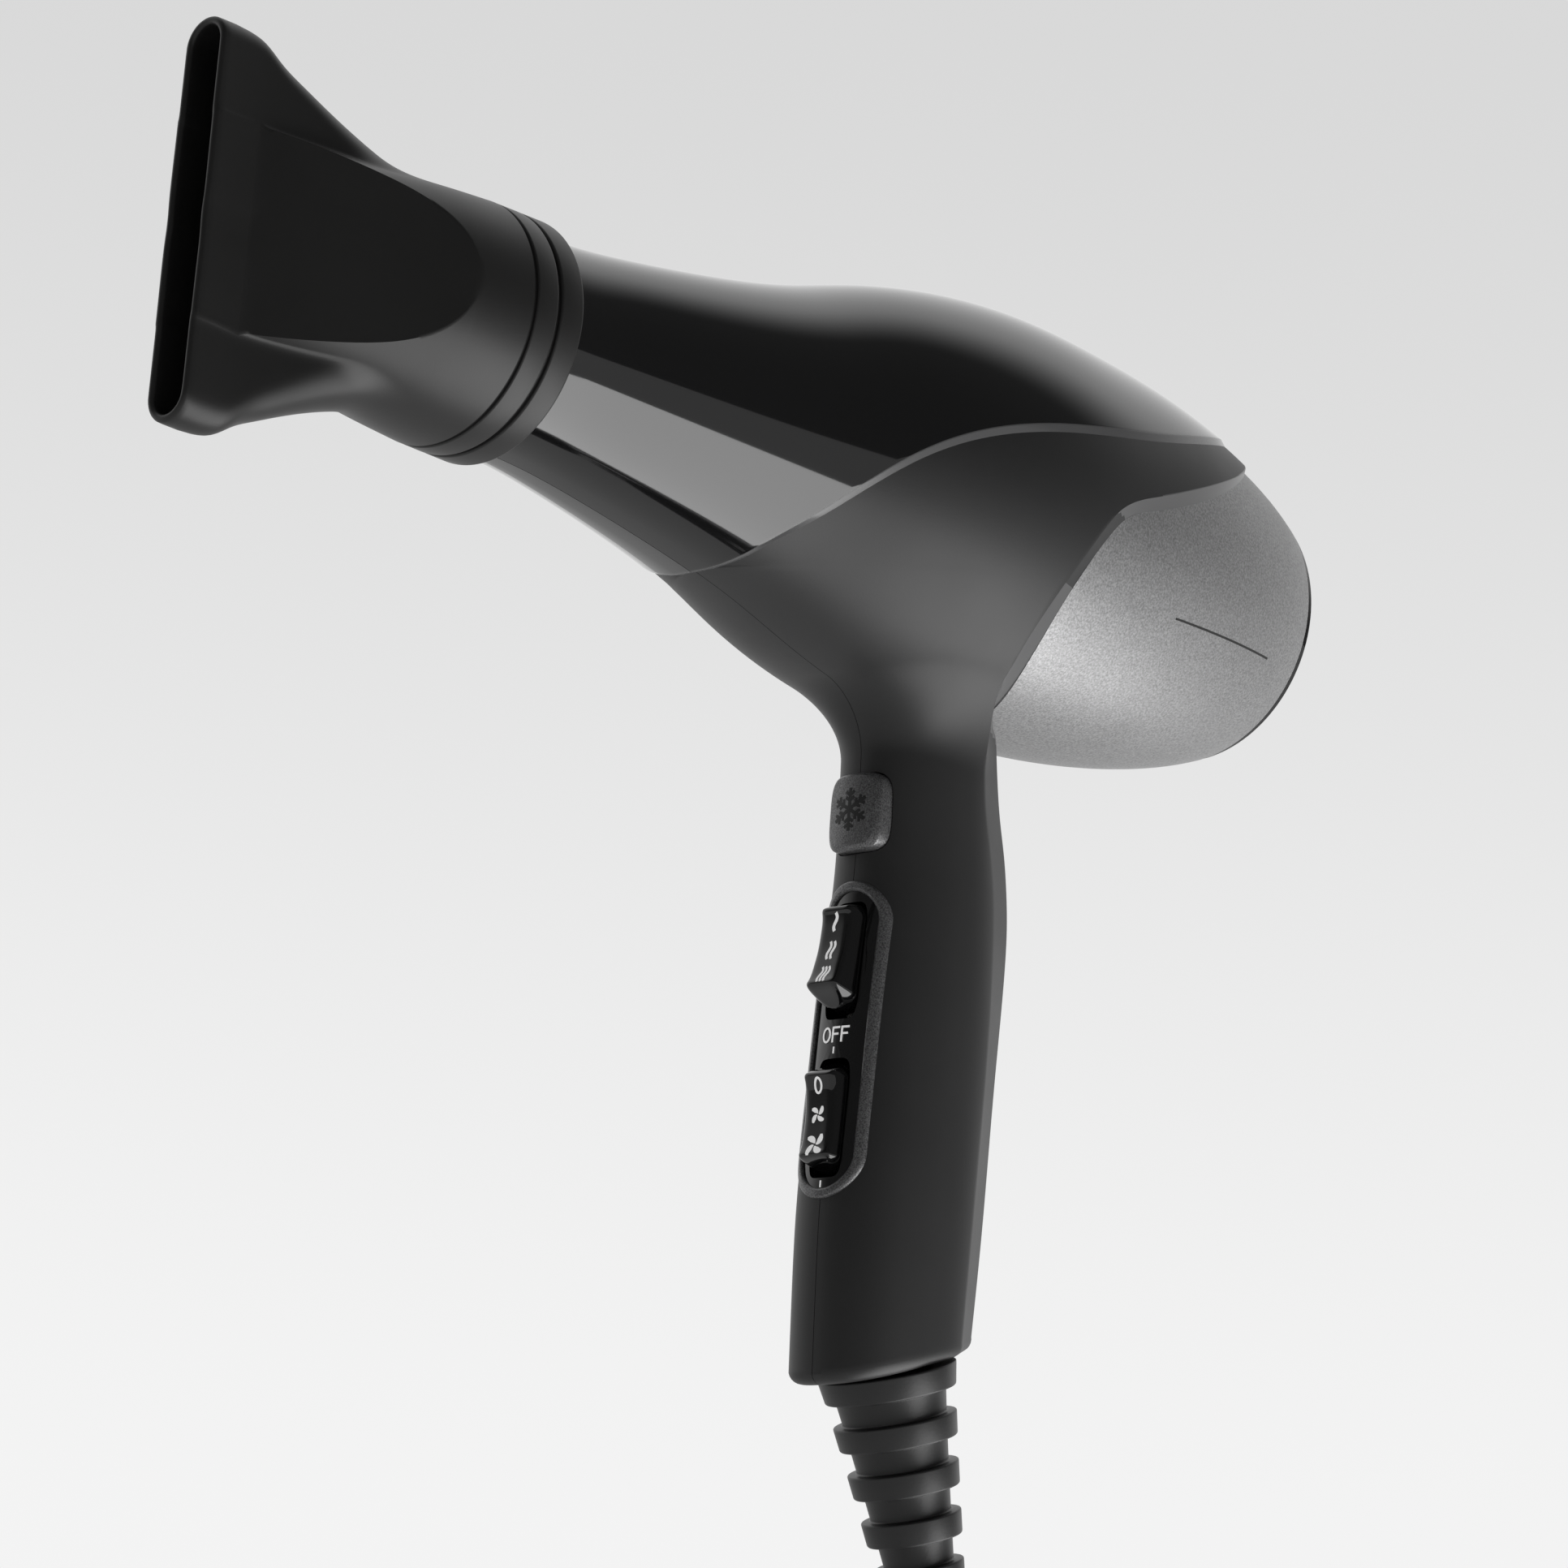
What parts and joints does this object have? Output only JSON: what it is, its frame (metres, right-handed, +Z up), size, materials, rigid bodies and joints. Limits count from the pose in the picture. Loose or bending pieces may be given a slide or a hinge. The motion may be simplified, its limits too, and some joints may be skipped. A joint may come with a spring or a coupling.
{
  "type": "hair dryer",
  "caption": "Full-size hair dryer with slotted concentrator nozzle, gloss barrel covers, grey rear housing, straight handle with rocker switches and a coiled mains cord.",
  "frame": {"origin": "middle of the hand grip, on the plane of symmetry", "axes": "+X along the barrel towards the air intake, -X is the way the air blows, +Z up along the handle towards the barrel, +Y to the right of a person who holds it and looks along the air stream"},
  "size_m": [0.3006, 0.0914, 0.4814],
  "materials": {
    "gloss_black": "high gloss black, piano finish",
    "matte_black": "soft-touch black, fine texture",
    "rear_silver": "metallic grey lacquer on plastic",
    "nozzle_black": "fine-eroded black",
    "heat_plastic": "heat-resistant black",
    "steel": "plain steel",
    "brass": "plain brass",
    "mica": "mica sheet",
    "heater_wire": "resistance wire",
    "magnet": "ferrite",
    "laminate": "laminated steel",
    "board": "printed circuit laminate",
    "rubber": "black rubber",
    "cord": "black sheath",
    "tie": "woven hook-and-loop strap",
    "wire_sheath": "insulated wire",
    "pin_metal": "nickel-plated brass",
    "switch_white": "switch housing"
  },
  "bodies": {
    "body": {"barrel_cover_left": "gloss_black", "barrel_cover_right": "gloss_black", "body_shell_left": "matte_black", "body_shell_right": "matte_black", "rear_housing": "rear_silver", "handle_spine": "matte_black", "outlet_tube": "heat_plastic", "outlet_grille": "heat_plastic", "heat_shield_tube": "mica", "heater_frame": "mica", "heater_coils": "heater_wire", "thermal_cutout": "steel", "thermal_fuse": "steel", "motor_duct": "heat_plastic", "motor_mount_rubber": "rubber", "motor_can": "steel", "motor_end_cap": "steel", "motor_magnets": "magnet", "motor_bushes": "brass", "rectifier_board": "board", "switch_bezel": "rear_silver", "switch_plate": "gloss_black", "heat_switch_module": "switch_white", "speed_switch_module": "switch_white", "cold_switch_module": "switch_white", "button_spring": "steel", "shell_screws": "steel", "cord_clamp": "heat_plastic", "clamp_screws": "steel", "wiring": "wire_sheath", "cord_inner": "cord", "strain_relief": "rubber", "cord_lead": "cord", "cord_coil": "cord", "cord_tail": "cord", "cord_tie": "tie", "plug_body": "rubber", "plug_pins": "pin_metal"},
    "nozzle_carrier": {"nozzle_clip_ring": "heat_plastic"},
    "nozzle": {"nozzle_shell": "nozzle_black", "nozzle_collar": "nozzle_black"},
    "intake": {"intake_ring": "gloss_black", "intake_grille": "matte_black", "intake_filter": "steel"},
    "fan": {"motor_shaft": "steel", "motor_rotor": "laminate", "impeller": "heat_plastic"},
    "cold_button": {"cold_button": "rear_silver"},
    "heat_rocker": {"heat_rocker": "gloss_black"},
    "speed_rocker": {"speed_rocker": "gloss_black"}
  },
  "joints": [
    {"name": "nozzle_slide", "type": "slide", "parent": "body", "child": "nozzle_carrier", "axis": [-1, 0, 0], "range_m": [0, 0.03]},
    {"name": "nozzle_turn", "type": "hinge", "parent": "nozzle_carrier", "child": "nozzle", "pos_m": [-0.14, 0, 0.125], "axis": [1, 0, 0], "continuous": true},
    {"name": "intake_slide", "type": "slide", "parent": "body", "child": "intake", "axis": [1, 0, 0], "range_m": [0, 0.018]},
    {"name": "fan_spin", "type": "hinge", "parent": "body", "child": "fan", "pos_m": [0.044, 0, 0.125], "axis": [1, 0, 0], "continuous": true},
    {"name": "cold_press", "type": "slide", "parent": "body", "child": "cold_button", "axis": [1, 0, 0], "range_m": [0, 0.0022], "stiffness_N_per_m": 400, "springref_m": -0.001, "deforming": ["button_spring"]},
    {"name": "heat_rock", "type": "hinge", "parent": "body", "child": "heat_rocker", "pos_m": [-0.014, 0, 0.0254], "axis": [0, 1, 0], "range_deg": [-22, 0]},
    {"name": "speed_rock", "type": "hinge", "parent": "body", "child": "speed_rocker", "pos_m": [-0.014, 0, -0.0076], "axis": [0, 1, 0], "range_deg": [-11, 11]}
  ]
}
